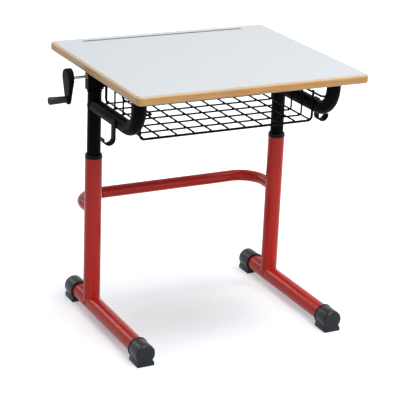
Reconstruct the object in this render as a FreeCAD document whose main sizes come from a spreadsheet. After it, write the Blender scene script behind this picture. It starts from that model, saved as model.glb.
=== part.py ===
import FreeCAD, Part
import math
import os
import re
import Sketcher

# Crank-adjustable single desk: two telescopic columns on tube feet carry a framed top,
# a wire basket and two bag hooks. One crank turns both lifting spindles through bevel gears.
# Frame: +X to the right of the person seated, +Y to the back, +Z up, floor at z = 0.

Vector = FreeCAD.Vector

# The basket's counts follow its floor: the last wires stay clear of the bends and of the corner wires.
CROSS_COUNT = "=floor((basket_depth - wire_bend) / cross_pitch)"
LONG_COUNT = "=2 * floor((basket_width / 2 - corner_inset - 2 * wire_diameter) / long_pitch) + 1"

SIZES = [
    ("top_width", 705, "width of the top, left to right"),
    ("top_depth", 625, "depth of the top, front to back"),
    ("top_height", 782, "height of the writing surface at rest"),
    ("top_thickness", 25, "whole thickness of the top"),
    ("laminate_thickness", 1, "decorative sheet on the core"),
    ("backer_thickness", 0.8, "balancing sheet under the core"),
    ("laminate_inset", 5, "bare rounded rim outside the sheets"),
    ("lipping_width", 16, "solid wood edge round the core"),
    ("corner_radius", 15, "corner of the top in plan"),
    ("edge_round", 4.5, "rounding of the wood edge"),
    ("groove_length", 525, "pencil groove, end to end"),
    ("groove_width", 12, "pencil groove across"),
    ("groove_depth", 6, "pencil groove below the surface"),
    ("groove_inset", 34, "groove centre from the back edge"),
    ("column_spread", 603, "distance between the column axes"),
    ("column_back", 93, "column axes behind the middle of the top"),
    ("outer_tube_diameter", 50, "fixed column tube"),
    ("outer_tube_wall", 2, "wall of the fixed column tube"),
    ("outer_column_top", 488, "upper end of the fixed column tube"),
    ("inner_tube_diameter", 40, "sliding column tube"),
    ("inner_tube_wall", 2, "wall of the sliding column tube"),
    ("foot_diameter", 50, "foot tube"),
    ("foot_wall", 2, "wall of the foot tube"),
    ("foot_axis_height", 35, "foot tube axis above the floor"),
    ("foot_front", 297, "front end of a foot, from the middle of the top"),
    ("foot_rear", 238, "rear end of a foot, from the middle of the top"),
    ("cap_diameter", 58, "foot cap sleeve"),
    ("cap_length", 58, "foot cap along the foot"),
    ("cap_end", 8, "closed end of a foot cap"),
    ("cap_chamfer", 4, "chamfer round the end of a foot cap"),
    ("cap_base_width", 51, "flat sole of a foot cap"),
    ("cap_base_side", 9, "upright side of the sole"),
    ("cap_neck_width", 42, "width where the sole runs into the sleeve"),
    ("cap_neck_height", 17, "height where the sole runs into the sleeve"),
    ("stretcher_diameter", 35, "bent tube between the columns"),
    ("stretcher_wall", 2, "wall of the bent tube"),
    ("stretcher_height", 324, "bent tube axis above the floor"),
    ("stretcher_back", 134, "bent tube behind the column axes"),
    ("stretcher_bend", 75, "bend radius of the bent tube"),
    ("collar_lip", 12, "guide collar above the fixed tube"),
    ("collar_sleeve", 60, "guide collar inside the fixed tube"),
    ("collar_round", 3, "rounding of the collar's upper rim"),
    ("disc_thickness", 6, "welded disc under the nut post"),
    ("post_diameter", 28, "tube that carries the nut"),
    ("post_wall", 2, "wall of the nut post"),
    ("post_top", 400, "upper end of the nut post"),
    ("nut_diameter", 32, "nut flange"),
    ("nut_flange", 20, "nut flange above the post"),
    ("nut_spigot", 15, "nut inside the post"),
    ("spindle_diameter", 14, "lifting screw over its thread"),
    ("spindle_neck", 10, "plain end of the screw"),
    ("stop_diameter", 22, "stop ring at the lower end of the screw"),
    ("stop_length", 8, "stop ring along the screw"),
    ("lift_down", 110, "travel below the rest height"),
    ("lift_up", 40, "travel above the rest height"),
    ("glide_length", 50, "glide sleeve on the sliding tube"),
    ("glide_lip", 4, "glide rim under the sliding tube"),
    ("arm_diameter", 40, "bent arm tube"),
    ("arm_wall", 2, "wall of the arm tube"),
    ("arm_drop", 111, "level run of the arm below the top"),
    ("arm_reach", 303, "arm's upright in front of the column"),
    ("arm_bend", 75, "bend radius of the arm"),
    ("plate_thickness", 4, "mounting plate on an arm"),
    ("plate_length", 90, "mounting plate front to back"),
    ("plate_width", 64, "mounting plate left to right"),
    ("plate_margin", 9, "screw centre from the plate edge"),
    ("housing_width", 48, "gear housing left to right"),
    ("housing_depth", 26, "gear housing front to back"),
    ("housing_drop", 65, "gear housing below the top"),
    ("housing_sheet", 2.5, "sheet of the gear housing"),
    ("housing_bend", 4, "outside radius of the housing's upright bends"),
    ("ear_length", 112, "housing web with its screw ears"),
    ("ear_margin", 10, "screw centre from the ear's end"),
    ("ear_spacing", 26, "distance between the screws of an ear"),
    ("bearing_plate", 5, "disc that closes the sliding tube"),
    ("cover_thickness", 2, "cover at the back of the housing"),
    ("bush_wall", 2, "wall of a shaft bush"),
    ("bush_flange", 1.5, "rim of a bush"),
    ("bush_rim", 2, "rim of a bush outside its sleeve"),
    ("spindle_bush_wall", 3, "wall of a spindle bush"),
    ("shaft_diameter", 8, "crank shaft"),
    ("shaft_drop", 27, "crank shaft axis below the top"),
    ("shaft_tail", 3, "shaft past the far housing"),
    ("gear_pitch_radius", 9, "pitch radius of the bevel gears"),
    ("gear_teeth", 16, "teeth of a bevel gear"),
    ("gear_face", 4, "length of a tooth"),
    ("gear_addendum", 1, "tooth above the pitch cone"),
    ("gear_dedendum", 1.3, "tooth below the pitch cone"),
    ("gear_backlash", 0.4, "play between teeth"),
    ("gear_hub_radius", 7, "hub of a bevel gear"),
    ("gear_back", 1, "rim behind the teeth"),
    ("pressure_angle", 20, "pressure angle of the teeth in degrees"),
    ("crank_gap", 49, "crank arm from the gear housing"),
    ("crank_thickness", 15, "crank arm at the shaft"),
    ("crank_tip_thickness", 9, "crank arm at the grip"),
    ("crank_hub_radius", 28, "round end at the shaft"),
    ("crank_throw", 61, "shaft axis to grip axis"),
    ("crank_tip_radius", 15, "round end at the grip"),
    ("crank_round", 3, "rounding of the crank arm's outer rim"),
    ("crank_bore", 9, "depth of the shaft seat in the crank arm"),
    ("grub_diameter", 5, "set screw in the crank arm"),
    ("grub_length", 12, "set screw along its axis"),
    ("grip_length", 52.5, "turning grip"),
    ("grip_neck", 19.5, "turning grip beside the crank arm"),
    ("grip_diameter", 23, "turning grip at its outer end"),
    ("grip_round", 3, "rounding of the grip's end"),
    ("grip_gap", 1, "grip from the crank arm"),
    ("pin_diameter", 8, "grip pin"),
    ("pin_head_diameter", 13, "head of the grip pin"),
    ("pin_head", 4, "length of the pin's head"),
    ("pin_recess", 1, "pin's head below the grip's end"),
    ("basket_width", 539.5, "basket between its side wires"),
    ("basket_depth", 368, "basket from front rod to rear wires"),
    ("basket_forward", 152, "front rod in front of the middle of the top"),
    ("basket_drop", 146, "basket floor below the top"),
    ("rail_drop", 58, "basket rail below the top"),
    ("wire_diameter", 5, "mesh wire"),
    ("front_rod_diameter", 7, "front rod of the basket"),
    ("rail_diameter", 6, "upper rail of the basket"),
    ("wire_bend", 8, "bend radius of the mesh wires"),
    ("rail_bend", 8, "bend radius of the rail"),
    ("cross_pitch", 58, "spacing of the wires left to right"),
    ("cross_wires", CROSS_COUNT, "mesh wires that run left to right, as many as the floor takes"),
    ("corner_inset", 7.6, "corner wires from the side wires"),
    ("long_pitch", 53.4, "spacing of the wires front to back"),
    ("long_wires", LONG_COUNT, "mesh wires that run front to back, without those in the corners"),
    ("lug_length", 10, "basket lug along the rail"),
    ("lug_height", 6, "basket lug up and down"),
    ("hook_forward", 93, "bag hook in front of the middle of the top"),
    ("hook_strip", 3.5, "thickness of the hook strip"),
    ("hook_width", 26, "width of the hook strip"),
    ("hook_radius", 14.4, "inside of the hook's bend"),
    ("hook_drop", 169.5, "lowest point of a hook below the top"),
    ("hook_stem", 72, "hook's stem above its lowest point"),
    ("hook_tip", 21, "hook's tip above its lowest point"),
    ("screw_diameter", 4.5, "wood screw"),
    ("screw_length", 16, "wood screw under its head"),
    ("screw_head_diameter", 9, "wood screw head"),
    ("screw_head", 2.5, "height of a screw head"),
    ("weld_gap", 0.05, "room left at welds and fixed seats"),
    ("running_gap", 0.1, "room round and beside turning pieces"),
    ("glide_gap", 0.3, "room round sliding pieces"),
    ("stop_gap", 0.3, "room left at the end stops"),
    ("cut_margin", 1, "how far a cutting shape passes the piece it cuts"),
]

doc = FreeCAD.newDocument("desk")
sheet = doc.addObject("Spreadsheet::Sheet", "Sizes")
for row, (alias, size, meaning) in enumerate(SIZES, start=1):
    sheet.set(f"A{row}", meaning)
    sheet.set(f"B{row}", str(size))
    sheet.setAlias(f"B{row}", alias)
doc.recompute()

ALIASES = {alias for alias, _, _ in SIZES}
nodes = []


# Expressions are written with bare aliases and bound to the sheet's cells.
def bound(text):
    def with_sheet(word):
        return f"Sizes.{word[0]}" if word[0] in ALIASES else word[0]

    return re.sub(r"[a-z_]+", with_sheet, text)


def value(text):
    return float(sheet.evalExpression(bound(text)))


def bind(item, path, text):
    item.setExpression(path, bound(text))


def node(item, label):
    item.Label = label
    nodes.append(item)
    return item


def place(item, x="0", y="0", z="0", rotation=None):
    item.Placement = FreeCAD.Placement(Vector(0, 0, 0), rotation or FreeCAD.Rotation())
    for axis, text in zip("xyz", (x, y, z)):
        bind(item, f"Placement.Base.{axis}", text)
    return item


# Places that several pieces share
UNDERSIDE = "(top_height - top_thickness)"
HOOK_OUTSIDE = "(column_spread / 2 + arm_diameter / 2 + weld_gap + 2 * hook_strip + 2 * hook_radius)"
CRANK_INNER = "(housing_width / 2 + crank_gap)"
CRANK_NARROWS = "((crank_thickness - crank_tip_thickness) / 2)"
CRANK_ARM_SIDE = f"({CRANK_INNER} + crank_thickness - {CRANK_NARROWS})"
CRANK_OUTSIDE = f"(column_spread / 2 + {CRANK_ARM_SIDE} + grip_gap + grip_length)"
DESK_X = f"(({CRANK_OUTSIDE} - {HOOK_OUTSIDE}) / 2)"
SIDES = {"left": "-", "right": "+"}
COLUMN_X = {side: f"({DESK_X} {sign} column_spread / 2)" for side, sign in SIDES.items()}
COLUMN_Y = "column_back"
ARM_Y = "(column_back - arm_reach)"
ARM_Z = f"({UNDERSIDE} - arm_drop)"
SHAFT_Z = f"({UNDERSIDE} - shaft_drop)"
HOUSING_BOTTOM = f"({UNDERSIDE} - housing_drop)"
BEARING_BOTTOM = f"({HOUSING_BOTTOM} - bearing_plate)"
RAIL_Z = f"({UNDERSIDE} - rail_drop)"
RAIL_HALF = "(basket_width / 2 - wire_diameter / 2 - rail_diameter / 2 - weld_gap)"
FLOOR_WIRE_Z = f"({UNDERSIDE} - basket_drop)"
BASKET_Y = "(-basket_forward)"
OUTER_BORE = "(outer_tube_diameter / 2 - outer_tube_wall)"
INNER_BORE = "(inner_tube_diameter / 2 - inner_tube_wall)"
POST_BORE = "(post_diameter / 2 - post_wall)"
DISC_BOTTOM = "(foot_axis_height + foot_diameter / 2 + weld_gap)"
DISC_TOP = f"({DISC_BOTTOM} + disc_thickness)"
LIFT_BOTTOM = f"({DISC_TOP} + lift_down + stop_gap)"
NUT_BOTTOM = "(post_top - nut_spigot)"
STOP_TOP = f"({NUT_BOTTOM} - lift_up - stop_gap)"
GRIP_Z = f"({SHAFT_Z} - crank_throw)"
CRANK_FACE = f"({COLUMN_X['left']} - {CRANK_INNER})"
TURN_TO_X = FreeCAD.Rotation(Vector(0, 1, 0), 90)
TURN_TO_Y = FreeCAD.Rotation(Vector(1, 0, 0), -90)
HALF_TURN = FreeCAD.Rotation(Vector(0, 0, 1), 180)
NEAR = 0.01


# Part primitives bound to the sheet
def cylinder(radius, height, x, y, z, rotation=None):
    item = doc.addObject("Part::Cylinder", "cylinder")
    bind(item, "Radius", radius)
    bind(item, "Height", height)
    return place(item, x, y, z, rotation)


def box(length, width, height, x, y, z):
    item = doc.addObject("Part::Box", "box")
    bind(item, "Length", length)
    bind(item, "Width", width)
    bind(item, "Height", height)
    return place(item, f"{x} - ({length}) / 2", f"{y} - ({width}) / 2", z)


def group(*pieces):
    item = doc.addObject("Part::Compound", "group")
    item.Links = list(pieces)
    return item


def fuse(*pieces):
    item = doc.addObject("Part::MultiFuse", "fuse")
    item.Shapes = list(pieces)
    return item


def cut(base, *tools):
    item = doc.addObject("Part::Cut", "cut")
    item.Base = base
    item.Tool = tools[0] if len(tools) == 1 else group(*tools)
    return item


# Bodies and sketches bound to the sheet
def new_body():
    return doc.addObject("PartDesign::Body", "body")


def new_sketch(body, role):
    plane = next(item for item in body.Origin.OriginFeatures if item.Role == role)
    sketch = body.newObject("Sketcher::SketchObject", "sketch")
    sketch.AttachmentSupport = [(plane, "")]
    sketch.MapMode = "FlatFace"
    return sketch


def constrain(sketch, kind, *parts, size=None):
    if size is None:
        return sketch.addConstraint(Sketcher.Constraint(kind, *parts))
    index = sketch.addConstraint(Sketcher.Constraint(kind, *parts, value(size)))
    bind(sketch, f"Constraints[{index}]", size)
    return index


def add_circle(sketch, radius):
    circle = sketch.addGeometry(Part.Circle(Vector(0, 0, 0), Vector(0, 0, 1), value(radius)))
    constrain(sketch, "Coincident", circle, 3, -1, 1)
    constrain(sketch, "Radius", circle, size=radius)


def add_outline(sketch, corners):
    """Closed outline of straight runs through corners given as pairs of expressions, none of them zero."""
    points = [Vector(value(u), value(v), 0) for u, v in corners]
    runs = zip(points, points[1:] + points[:1])
    lines = [sketch.addGeometry(Part.LineSegment(start, end)) for start, end in runs]
    for line, following in zip(lines, lines[1:] + lines[:1]):
        constrain(sketch, "Coincident", line, 2, following, 1)
    for line, (u, v) in zip(lines, corners):
        constrain(sketch, "DistanceX", -1, 1, line, 1, size=u)
        constrain(sketch, "DistanceY", -1, 1, line, 1, size=v)


def add_rectangle(sketch, width, height):
    half_width, half_height = f"({width}) / 2", f"({height}) / 2"
    corners = [("-", "-"), ("", "-"), ("", ""), ("-", "")]
    add_outline(sketch, [(f"{u}({half_width})", f"{v}({half_height})") for u, v in corners])


def add_path(sketch, corners, bend):
    """Open path of runs along the sketch axes, starting at its origin, with one bend at each corner."""
    points = [Vector(0, 0, 0)] + [Vector(value(u), value(v), 0) for u, v in corners]
    ways = [(b - a).normalize() for a, b in zip(points, points[1:])]
    radius = value(bend)
    last = len(ways) - 1
    lines = []
    for index, way in enumerate(ways):
        start = points[index] + (way * radius if index else Vector(0, 0, 0))
        end = points[index + 1] - (way * radius if index < last else Vector(0, 0, 0))
        lines.append(sketch.addGeometry(Part.LineSegment(start, end)))
    for index, (before, after) in enumerate(zip(ways, ways[1:])):
        centre = points[index + 1] - before * radius + after * radius
        left_turn = before.cross(after).z > 0
        first = after * -1 if left_turn else before
        angle = math.atan2(first.y, first.x)
        circle = Part.Circle(centre, Vector(0, 0, 1), radius)
        arc = sketch.addGeometry(Part.ArcOfCircle(circle, angle, angle + math.pi / 2))
        entry, leave = (1, 2) if left_turn else (2, 1)
        constrain(sketch, "Tangent", lines[index], 2, arc, entry)
        constrain(sketch, "Tangent", arc, leave, lines[index + 1], 1)
        constrain(sketch, "Radius", arc, size=bend)
    constrain(sketch, "Coincident", lines[0], 1, -1, 1)
    for index, (line, way) in enumerate(zip(lines, ways)):
        level = abs(way.x) > abs(way.y)
        constrain(sketch, "Horizontal" if level else "Vertical", line)
        if index:
            u, v = corners[index - 1]
            axis, text = ("DistanceY", v) if level else ("DistanceX", u)
            constrain(sketch, axis, -1, 1, line, 1, size=text)
    level = abs(ways[last].x) > abs(ways[last].y)
    u, v = corners[last]
    end_axis, end_text = ("DistanceX", u) if level else ("DistanceY", v)
    if abs(value(end_text)) > 0:
        constrain(sketch, end_axis, -1, 1, lines[last], 2, size=end_text)
    else:
        constrain(sketch, "PointOnObject", lines[last], 2, -2 if level else -1)


def add_pad(body, sketch, length, reverse=False, symmetric=False, kind="Pad"):
    pad = body.newObject(f"PartDesign::{kind}", kind.lower())
    pad.Profile = sketch
    bind(pad, "Length", length)
    pad.Reversed = reverse
    pad.SideType = "Symmetric" if symmetric else "One side"
    doc.recompute()
    return pad


def edge_names(shape, wanted):
    return [f"Edge{index}" for index, edge in enumerate(shape.Edges, start=1) if wanted(edge)]


def add_dress(kind, body, base, size_name, size, wanted):
    feature = body.newObject(f"PartDesign::{kind}", kind.lower())
    feature.Base = (base, edge_names(base.Shape, wanted))
    bind(feature, size_name, size)
    doc.recompute()
    return feature


def ring_body(outer, inner, length):
    body = new_body()
    sketch = new_sketch(body, "XY_Plane")
    add_circle(sketch, outer)
    add_circle(sketch, inner)
    add_pad(body, sketch, length)
    return body


def bent_body(path_role, profile_role, corners, bend, outer, inner=None):
    """Tube or wire that starts at the body's origin and follows a bent path."""
    body = new_body()
    path = new_sketch(body, path_role)
    add_path(path, corners, bend)
    profile = new_sketch(body, profile_role)
    add_circle(profile, outer)
    if inner:
        add_circle(profile, inner)
    doc.recompute()
    pipe = body.newObject("PartDesign::AdditivePipe", "pipe")
    pipe.Profile = profile
    pipe.Spine = (path, edge_names(path.Shape, lambda edge: True))
    doc.recompute()
    return body


# Fixed frame
def make_feet():
    for side, x in COLUMN_X.items():
        radius, length = "foot_diameter / 2", "foot_front + foot_rear - 2 * cap_end"
        tube = ring_body(radius, f"{radius} - foot_wall", length)
        place(tube, x, "cap_end - foot_front", "foot_axis_height", TURN_TO_Y)
        node(tube, f"{side}_foot_tube")
        front = place(foot_cap_body(), x, "-foot_front", "foot_axis_height")
        rear = place(foot_cap_body(), x, "foot_rear", "foot_axis_height", HALF_TURN)
        for end, body, bore_start in (
            ("front", front, "cap_end - foot_front"),
            ("rear", rear, "foot_rear - cap_length"),
        ):
            bore_radius, bore_length = f"{radius} + weld_gap", "cap_length - cap_end"
            bore = cylinder(bore_radius, bore_length, x, bore_start, "foot_axis_height", TURN_TO_Y)
            node(cut(body, bore), f"{side}_{end}_foot_cap")


def foot_cap_body():
    """Cap without its bore, closed end at the body's origin."""
    body = new_body()
    sleeve = new_sketch(body, "XZ_Plane")
    add_circle(sleeve, "cap_diameter / 2")
    pad = add_pad(body, sleeve, "cap_length", reverse=True)
    at_end = lambda edge: abs(edge.BoundBox.YMax) < NEAR and abs(edge.BoundBox.YMin) < NEAR
    add_dress("Chamfer", body, pad, "Size", "cap_chamfer", at_end)
    sole = new_sketch(body, "XZ_Plane")
    half, neck = "cap_base_width / 2", "cap_neck_width / 2"
    side_z, neck_z = "cap_base_side - foot_axis_height", "cap_neck_height - foot_axis_height"
    right = [(half, "-foot_axis_height"), (half, side_z), (neck, neck_z)]
    left = [(f"-({u})", v) for u, v in reversed(right)]
    add_outline(sole, right + left)
    add_pad(body, sole, "cap_length", reverse=True)
    return body


def make_columns():
    for side, x in COLUMN_X.items():
        column = ring_body("outer_tube_diameter / 2", OUTER_BORE, "outer_column_top - foot_axis_height")
        place(column, x, COLUMN_Y, "foot_axis_height")
        saddle_start = f"{COLUMN_Y} - outer_tube_diameter"
        saddle = cylinder(
            "foot_diameter / 2 + weld_gap",
            "2 * outer_tube_diameter",
            x,
            saddle_start,
            "foot_axis_height",
            TURN_TO_Y,
        )
        node(cut(column, saddle), f"{side}_outer_column")
        node(guide_collar(x), f"{side}_guide_collar")


def guide_collar(x):
    body = new_body()
    rim = new_sketch(body, "XY_Plane")
    add_circle(rim, "outer_tube_diameter / 2")
    add_circle(rim, "inner_tube_diameter / 2 + glide_gap")
    pad = add_pad(body, rim, "collar_lip")
    lip, radius = value("collar_lip"), value("outer_tube_diameter / 2")
    outer_top = lambda edge: edge.BoundBox.ZMin > lip - NEAR and edge.BoundBox.XMax > radius - NEAR
    add_dress("Fillet", body, pad, "Radius", "collar_round", outer_top)
    sleeve = new_sketch(body, "XY_Plane")
    add_circle(sleeve, f"{OUTER_BORE} - weld_gap")
    add_circle(sleeve, "inner_tube_diameter / 2 + glide_gap")
    add_pad(body, sleeve, "collar_sleeve", reverse=True)
    return place(body, x, COLUMN_Y, "outer_column_top + weld_gap")


def make_stretcher():
    across = [("0", "stretcher_back"), ("column_spread", "stretcher_back"), ("column_spread", "0")]
    radius = "stretcher_diameter / 2"
    tube = bent_body("XY_Plane", "XZ_Plane", across, "stretcher_bend", radius, f"{radius} - stretcher_wall")
    place(tube, COLUMN_X["left"], COLUMN_Y, "stretcher_height")
    saddle_radius, saddle_length = "outer_tube_diameter / 2 + weld_gap", "2 * stretcher_diameter"
    saddle_z = "stretcher_height - stretcher_diameter"
    saddles = [cylinder(saddle_radius, saddle_length, x, COLUMN_Y, saddle_z) for x in COLUMN_X.values()]
    node(cut(tube, *saddles), "rear_stretcher")


def make_nuts():
    discs = []
    for side, x in COLUMN_X.items():
        discs.append(cylinder(f"{OUTER_BORE} - weld_gap", "disc_thickness", x, COLUMN_Y, DISC_BOTTOM))
        post = ring_body("post_diameter / 2", POST_BORE, f"post_top - {DISC_TOP} - weld_gap")
        node(place(post, x, COLUMN_Y, f"{DISC_TOP} + weld_gap"), f"{side}_nut_post")
        flange = cylinder("nut_diameter / 2", "nut_flange", x, COLUMN_Y, "post_top + weld_gap")
        spigot = cylinder(f"{POST_BORE} - weld_gap", "nut_spigot + weld_gap", x, COLUMN_Y, NUT_BOTTOM)
        bore_length = "nut_flange + nut_spigot + cut_margin"
        bore = cylinder("spindle_diameter / 2 + running_gap", bore_length, x, COLUMN_Y, NUT_BOTTOM)
        node(cut(fuse(flange, spigot), bore), f"{side}_spindle_nut")
    node(group(*discs), "post_discs")


# Sliding frame
def make_inner_columns():
    for side, x in COLUMN_X.items():
        start = f"({LIFT_BOTTOM} + glide_lip + weld_gap)"
        tube = ring_body("inner_tube_diameter / 2", INNER_BORE, f"{BEARING_BOTTOM} - weld_gap - {start}")
        node(place(tube, x, COLUMN_Y, start), f"{side}_inner_column")
        body = new_body()
        lip = new_sketch(body, "XY_Plane")
        add_circle(lip, f"{OUTER_BORE} - glide_gap")
        add_circle(lip, INNER_BORE)
        add_pad(body, lip, "glide_lip")
        sleeve = new_sketch(body, "XY_Plane")
        add_circle(sleeve, f"{OUTER_BORE} - glide_gap")
        add_circle(sleeve, "inner_tube_diameter / 2 + weld_gap")
        add_pad(body, sleeve, "glide_lip + glide_length")
        node(place(body, x, COLUMN_Y, LIFT_BOTTOM), f"{side}_lower_glide")


def make_arms():
    radius = "arm_diameter / 2"
    for side, x in COLUMN_X.items():
        tube = arm_body(x, radius, f"{radius} - arm_wall")
        saddle_radius, saddle_z = "inner_tube_diameter / 2 + weld_gap", f"{ARM_Z} - arm_diameter"
        saddle = cylinder(saddle_radius, "2 * arm_diameter", x, COLUMN_Y, saddle_z)
        node(cut(tube, saddle), f"{side}_arm")
        plate_z = f"{UNDERSIDE} - plate_thickness"
        plate = box("plate_width", "plate_length", "plate_thickness", x, ARM_Y, plate_z)
        node(cut(plate, screw_holes), f"{side}_arm_plate")


def arm_body(x, outer, inner=None):
    corners = [("-arm_reach", "0"), ("-arm_reach", "arm_drop - plate_thickness - weld_gap")]
    tube = bent_body("YZ_Plane", "XZ_Plane", corners, "arm_bend", outer, inner)
    return place(tube, x, COLUMN_Y, ARM_Z)


def make_housings():
    bushes, spindle_bushes, covers = [], [], []
    for side, x in COLUMN_X.items():
        web_z = f"{UNDERSIDE} - housing_sheet"
        web = box("housing_width", "ear_length", "housing_sheet", x, COLUMN_Y, web_z)
        shell = place(housing_body(), x, COLUMN_Y, HOUSING_BOTTOM)
        room = box(
            "housing_width - 2 * housing_sheet",
            "housing_depth - housing_sheet + cut_margin",
            "housing_drop - housing_sheet + cut_margin",
            x,
            f"({COLUMN_Y} + (housing_sheet + cut_margin) / 2)",
            f"{HOUSING_BOTTOM} - cut_margin",
        )
        bush_hole = across_housing("shaft_diameter / 2 + running_gap + bush_wall + weld_gap", x)
        node(cut(fuse(web, shell), room, bush_hole, screw_holes), f"{side}_gear_housing")
        disc = cylinder("inner_tube_diameter / 2", "bearing_plate - weld_gap", x, COLUMN_Y, BEARING_BOTTOM)
        neck = "spindle_neck / 2 + running_gap"
        sleeve_radius = f"{neck} + spindle_bush_wall"
        hole_start = f"{BEARING_BOTTOM} - cut_margin"
        hole_length = "bearing_plate + 2 * cut_margin"
        disc_hole = cylinder(f"{sleeve_radius} + weld_gap", hole_length, x, COLUMN_Y, hole_start)
        node(cut(disc, disc_hole), f"{side}_bearing_plate")
        sleeve = cylinder(sleeve_radius, "bearing_plate", x, COLUMN_Y, BEARING_BOTTOM)
        rim = cylinder(f"{sleeve_radius} + bush_rim", "bush_flange", x, COLUMN_Y, HOUSING_BOTTOM)
        bore_length = "bearing_plate + bush_flange + 2 * cut_margin"
        bore = cylinder(neck, bore_length, x, COLUMN_Y, hole_start)
        spindle_bushes.append(cut(fuse(sleeve, rim), bore))
        bushes += [shaft_bush(x, sign) for sign in "-+"]
        cover_width = "housing_width - 2 * housing_sheet - 2 * weld_gap"
        cover_height = "housing_drop - housing_sheet - 2 * weld_gap"
        cover_y = f"({COLUMN_Y} + (housing_depth - cover_thickness) / 2)"
        cover_z = f"{HOUSING_BOTTOM} + weld_gap"
        covers.append(box(cover_width, "cover_thickness", cover_height, x, cover_y, cover_z))
    node(group(*bushes), "shaft_bushes")
    node(group(*spindle_bushes), "spindle_bushes")
    node(group(*covers), "gear_covers")


def housing_body():
    """Block with two rounded upright edges to the front, which the gear room is cut from."""
    body = new_body()
    outline = new_sketch(body, "XY_Plane")
    add_rectangle(outline, "housing_width", "housing_depth")
    pad = add_pad(body, outline, "housing_drop")
    front_upright = lambda edge: edge.BoundBox.ZLength > NEAR and edge.BoundBox.YMax < 0
    add_dress("Fillet", body, pad, "Radius", "housing_bend", front_upright)
    return body


def across_housing(radius, x):
    """Cutting cylinder on the shaft axis that passes both cheeks of a housing."""
    start = f"{x} - housing_width / 2 - cut_margin"
    return cylinder(radius, "housing_width + 2 * cut_margin", start, COLUMN_Y, SHAFT_Z, TURN_TO_X)


def shaft_bush(x, sign):
    """Flanged bush in one cheek of a gear housing, with its rim on the inside."""
    radius = "shaft_diameter / 2 + running_gap"
    outside = "housing_width / 2"
    inside = "(housing_width / 2 - housing_sheet)"
    sleeve_start = f"{x} - {outside}" if sign == "-" else f"{x} + {inside}"
    rim_start = f"{x} - {inside}" if sign == "-" else f"{x} + {inside} - bush_flange"
    sleeve_radius = f"{radius} + bush_wall"
    sleeve = cylinder(sleeve_radius, "housing_sheet", sleeve_start, COLUMN_Y, SHAFT_Z, TURN_TO_X)
    rim = cylinder(f"{sleeve_radius} + bush_rim", "bush_flange", rim_start, COLUMN_Y, SHAFT_Z, TURN_TO_X)
    return cut(fuse(sleeve, rim), across_housing(radius, x))


# Top
def screw_places():
    """Screw centres under the top: four round each arm's plate and four in each housing's ears."""
    plates, ears = [], []
    for x in COLUMN_X.values():
        for across in "-+":
            for along in "-+":
                plates.append((
                    f"({x} {across} (plate_width / 2 - plate_margin))",
                    f"({ARM_Y} {along} (plate_length / 2 - plate_margin))",
                ))
                ears.append((
                    f"({x} {across} ear_spacing / 2)",
                    f"({COLUMN_Y} {along} (ear_length / 2 - ear_margin))",
                ))
    return plates, ears


def make_screw_holes():
    plates, ears = screw_places()
    start = f"{UNDERSIDE} - plate_thickness - cut_margin"
    depth = "plate_thickness + screw_length + cut_margin"
    radius = "screw_diameter / 2 + weld_gap"
    return group(*[cylinder(radius, depth, x, y, start) for x, y in plates + ears])


def make_screws():
    plates, ears = screw_places()
    for label, places, seat in (
        ("arm_plate_screws", plates, "plate_thickness"),
        ("housing_screws", ears, "housing_sheet"),
    ):
        screws = []
        for x, y in places:
            under_head = f"{UNDERSIDE} - {seat} - weld_gap"
            head = cylinder("screw_head_diameter / 2", "screw_head", x, y, f"{under_head} - screw_head")
            shank = cylinder("screw_diameter / 2", "screw_length", x, y, under_head)
            screws.append(fuse(head, shank))
        node(group(*screws), label)


def make_top():
    core_height = "(top_thickness - laminate_thickness - backer_thickness)"
    core_z = f"{UNDERSIDE} + backer_thickness"
    groove = make_groove()
    core_width, core_depth = "top_width - 2 * lipping_width", "top_depth - 2 * lipping_width"
    core = box(core_width, core_depth, core_height, DESK_X, "0", core_z)
    node(cut(core, groove, screw_holes), "top_core")
    sheet_top = rounded_sheet("laminate_thickness", "top_height - laminate_thickness")
    node(cut(sheet_top, groove), "top_laminate")
    node(cut(rounded_sheet("backer_thickness", UNDERSIDE), screw_holes), "bottom_laminate")
    edge_y = "(top_depth - lipping_width) / 2"
    edge_x = "(top_width - lipping_width) / 2"
    end = lipping("top_width", core_height, round_corners=True)
    node(place(end, DESK_X, f"-({edge_y})", core_z), "front_lipping")
    end = lipping("top_width", core_height, round_corners=True)
    node(place(end, DESK_X, edge_y, core_z, HALF_TURN), "rear_lipping")
    for side, angle in (("left", -90), ("right", 90)):
        strip = lipping(core_depth, core_height, round_corners=False)
        turn = FreeCAD.Rotation(Vector(0, 0, 1), angle)
        node(place(strip, f"{DESK_X} {SIDES[side]} {edge_x}", "0", core_z, turn), f"{side}_lipping")


def make_groove():
    y = "(top_depth / 2 - groove_inset)"
    bottom = "top_height - groove_depth"
    height = "groove_depth + cut_margin"
    straight = "(groove_length - groove_width)"
    middle = box(straight, "groove_width", height, DESK_X, y, bottom)
    ends = [f"({DESK_X} {sign} {straight} / 2)" for sign in "-+"]
    return fuse(middle, *[cylinder("groove_width / 2", height, x, y, bottom) for x in ends])


def rounded_sheet(thickness, z):
    body = new_body()
    outline = new_sketch(body, "XY_Plane")
    add_rectangle(outline, "top_width - 2 * laminate_inset", "top_depth - 2 * laminate_inset")
    pad = add_pad(body, outline, thickness)
    upright = lambda edge: edge.BoundBox.ZLength > max(edge.BoundBox.XLength, edge.BoundBox.YLength)
    add_dress("Fillet", body, pad, "Radius", "corner_radius - laminate_inset", upright)
    return place(body, DESK_X, "0", z)


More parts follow.
